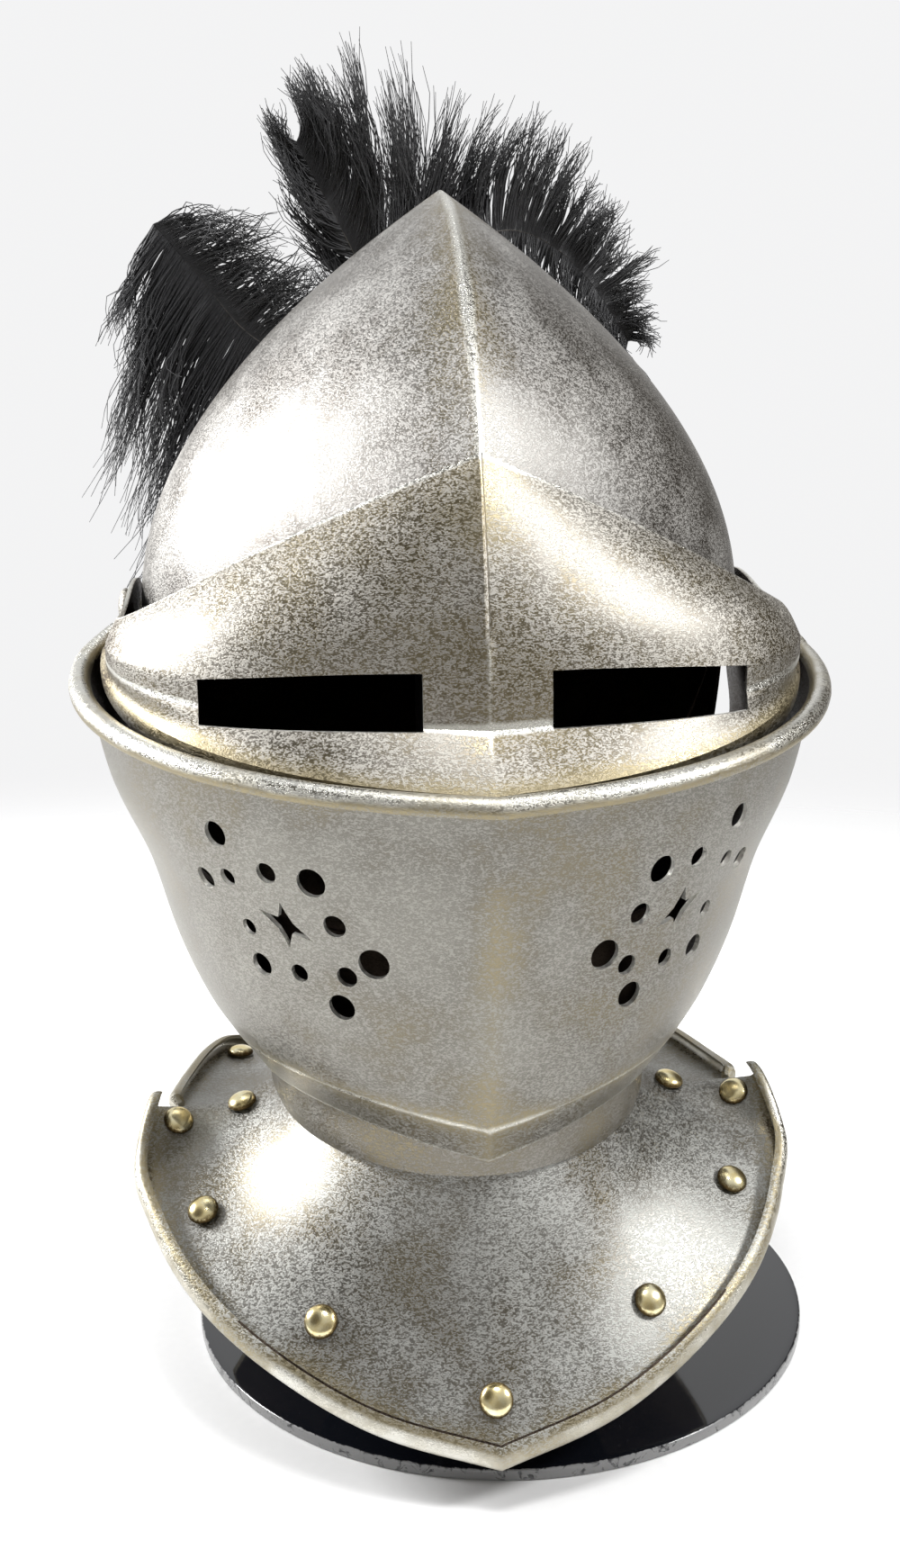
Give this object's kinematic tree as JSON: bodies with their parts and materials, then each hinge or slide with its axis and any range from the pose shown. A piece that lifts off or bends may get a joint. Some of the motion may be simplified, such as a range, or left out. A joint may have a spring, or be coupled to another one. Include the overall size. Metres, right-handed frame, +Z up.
{
  "type": "close helmet on a display stand",
  "caption": "Steel close helmet with a keeled skull, lifting visor and pierced ventail, neck plates with brass rivets and a black plume, on a plain disc stand.",
  "frame": {"origin": "on the underside of the stand's disc, where it meets the table, straight below the helmet's middle plane", "axes": "+Z up; the helmet looks along -Y and its middle plane is X = 0"},
  "size_m": [0.2565, 0.3126, 0.4803],
  "materials": {
    "steel": "satin, antiqued with a brown patina",
    "brass": "polished, a little tarnished",
    "feather": "dull black barbs",
    "black_lacquer": "glossy lacquer",
    "black_paint": "black paint",
    "felt": "black felt"
  },
  "bodies": {
    "helmet": {"skull": "steel", "bevor": "steel", "gorget_front": "steel", "gorget_rear": "steel", "pivot_left": "steel", "pivot_right": "steel", "rivet_tip": "brass", "rivet_lower_left": "brass", "rivet_lower_right": "brass", "rivet_upper_left": "brass", "rivet_upper_right": "brass", "rivet_shoulder_inner_left": "brass", "rivet_shoulder_inner_right": "brass", "rivet_shoulder_outer_left": "brass", "rivet_shoulder_outer_right": "brass", "rivet_tail": "brass", "rivet_nape_lower_left": "brass", "rivet_nape_lower_right": "brass", "rivet_nape_upper_left": "brass", "rivet_nape_upper_right": "brass", "plume_holder": "brass", "plume_crest": "feather", "plume_fall": "feather", "plume_sweep": "feather", "stand_disc": "black_lacquer", "stand_post": "black_paint", "stand_pad": "felt"},
    "ventail": {"ventail": "steel"},
    "visor": {"visor": "steel"}
  },
  "joints": [
    {"name": "ventail_hinge", "type": "hinge", "parent": "helmet", "child": "ventail", "pos_m": [0, 0.035, 0.255], "axis": [-1, 0, 0], "range_deg": [0, 40]},
    {"name": "visor_hinge", "type": "hinge", "parent": "ventail", "child": "visor", "pos_m": [0, 0.035, 0.255], "axis": [-1, 0, 0], "range_deg": [0, 45]}
  ]
}
